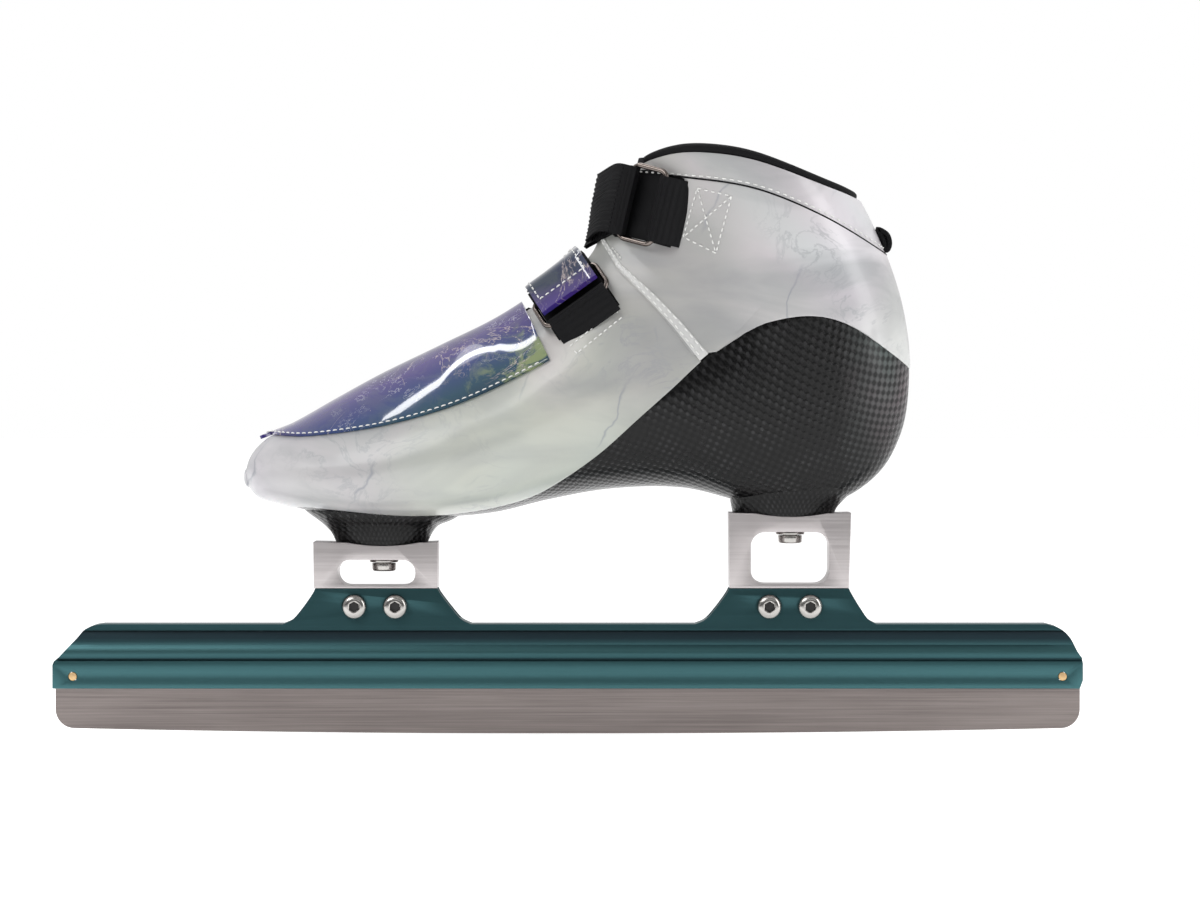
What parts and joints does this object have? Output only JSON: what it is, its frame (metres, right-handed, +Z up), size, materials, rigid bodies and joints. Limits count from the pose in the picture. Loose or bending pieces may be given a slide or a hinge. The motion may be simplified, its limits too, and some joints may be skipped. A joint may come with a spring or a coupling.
{
  "type": "speed skate",
  "caption": "Short-track speed skate: strapped leather and carbon boot with a lace cover, two aluminium cups, an anodised blade tube and a long straight blade.",
  "frame": {"origin": "lowest point of the blade's running edge, half way along the blade, in its middle plane", "axes": "+X to the heel, +Y to the wearer's inner side, +Z up"},
  "size_m": [0.43, 0.0969, 0.2445],
  "materials": {
    "blade_steel": "fine ground along the length",
    "teal_anodised": "satin anodised",
    "cup_aluminium": "fine brushed",
    "polished_steel": "polished",
    "brass": "satin",
    "carbon": "glossy lacquered carbon weave",
    "white_leather": "pearly marbled synthetic leather",
    "patent": "glossy marbled patent",
    "black_fabric": "matt textile",
    "black_webbing": "ribbed webbing",
    "ring_metal": "dark bronze plated"
  },
  "bodies": {
    "boot": {"front_sole_insert": "brass", "rear_sole_insert": "brass", "carbon_base": "carbon", "vamp": "white_leather", "near_cuff": "white_leather", "far_cuff": "white_leather", "collar_band": "white_leather", "lining": "black_fabric", "insole": "black_fabric", "tongue": "black_fabric", "collar_binding": "black_fabric", "vamp_ring": "ring_metal", "ankle_ring": "ring_metal", "vamp_ring_loop": "black_webbing", "ankle_ring_loop": "black_webbing", "vamp_strap": "black_webbing", "ankle_strap": "black_webbing", "front_mount_bolt": "polished_steel", "front_mount_washer": "polished_steel", "rear_mount_bolt": "polished_steel", "rear_mount_washer": "polished_steel"},
    "runner": {"blade": "blade_steel", "blade_tube": "teal_anodised", "front_blade_pin": "brass", "rear_blade_pin": "brass", "front_cup": "cup_aluminium", "rear_cup": "cup_aluminium", "front_clamp_screw_1": "polished_steel", "front_clamp_screw_2": "polished_steel", "front_clamp_nut_1": "polished_steel", "front_clamp_nut_2": "polished_steel", "rear_clamp_screw_1": "polished_steel", "rear_clamp_screw_2": "polished_steel", "rear_clamp_nut_1": "polished_steel", "rear_clamp_nut_2": "polished_steel"},
    "cover_flap": {"lace_cover": "patent"},
    "vamp_tab": {"vamp_strap_tab": "patent"},
    "ankle_tail": {"ankle_strap_tail": "black_webbing"},
    "pull_loop": {"heel_loop": "black_webbing"}
  },
  "joints": [
    {"name": "blade_offset", "type": "slide", "parent": "boot", "child": "runner", "axis": [0, 1, 0], "range_m": [-0.004, 0.004]},
    {"name": "lace_cover_flap", "type": "hinge", "parent": "boot", "child": "cover_flap", "pos_m": [-0.1235, 0, 0.1215], "axis": [0, -1, 0], "range_deg": [0, 55]},
    {"name": "vamp_tab_peel", "type": "hinge", "parent": "boot", "child": "vamp_tab", "pos_m": [-0.00348, -0.01819, 0.18993], "axis": [0.8142, -0.0337, 0.5796], "range_deg": [0, 110]},
    {"name": "ankle_tail_peel", "type": "hinge", "parent": "boot", "child": "ankle_tail", "pos_m": [0.02113, -0.02126, 0.22281], "axis": [0.2278, -0.0693, 0.9712], "range_deg": [0, 110]},
    {"name": "heel_loop_swing", "type": "hinge", "parent": "boot", "child": "pull_loop", "pos_m": [0.1354, 0, 0.2024], "axis": [0, 1, 0], "range_deg": [0, 40]}
  ]
}
